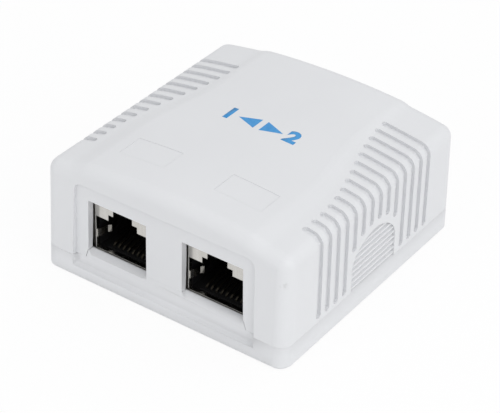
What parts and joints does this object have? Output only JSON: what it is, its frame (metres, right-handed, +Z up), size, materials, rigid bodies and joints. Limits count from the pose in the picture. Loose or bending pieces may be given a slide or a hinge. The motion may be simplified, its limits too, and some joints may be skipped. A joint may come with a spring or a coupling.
{
  "type": "surface mount jack box",
  "caption": "White plastic surface mount box with two shielded eight-way sockets, a crowned snap-off cover with wrap-around grooves and ribbed cable knockouts",
  "frame": {"origin": "centre of the underside, on the plane that it stands on", "axes": "+X to the right across the two sockets, +Y from the sockets towards the back, +Z up out of the underside"},
  "size_m": [0.051, 0.0538, 0.0242],
  "materials": {
    "white_abs": "satin",
    "nickel_sheet": "satin",
    "black_plastic": "matte",
    "gold_contact": "polished",
    "board_green": "gloss",
    "terminal_plastic": "matte",
    "tinned_blade": "satin",
    "zinc_steel": "satin"
  },
  "bodies": {
    "base_body": {"base": "white_abs", "circuit_board": "board_green", "board_screws": "zinc_steel", "ground_plate": "zinc_steel", "clamp_screws": "zinc_steel", "left_jack_shield": "nickel_sheet", "left_jack_housing": "black_plastic", "left_contact_insert": "black_plastic", "left_jack_contacts": "gold_contact", "left_terminal_block": "terminal_plastic", "left_terminal_blades": "tinned_blade", "left_cable_clamp": "zinc_steel", "right_jack_shield": "nickel_sheet", "right_jack_housing": "black_plastic", "right_contact_insert": "black_plastic", "right_jack_contacts": "gold_contact", "right_terminal_block": "terminal_plastic", "right_terminal_blades": "tinned_blade", "right_cable_clamp": "zinc_steel"},
    "cover_body": {"cover": "white_abs"}
  },
  "joints": [
    {"name": "cover_lift", "type": "slide", "parent": "base_body", "child": "cover_body", "axis": [0, 0, 1], "range_m": [0, 0.02]}
  ]
}
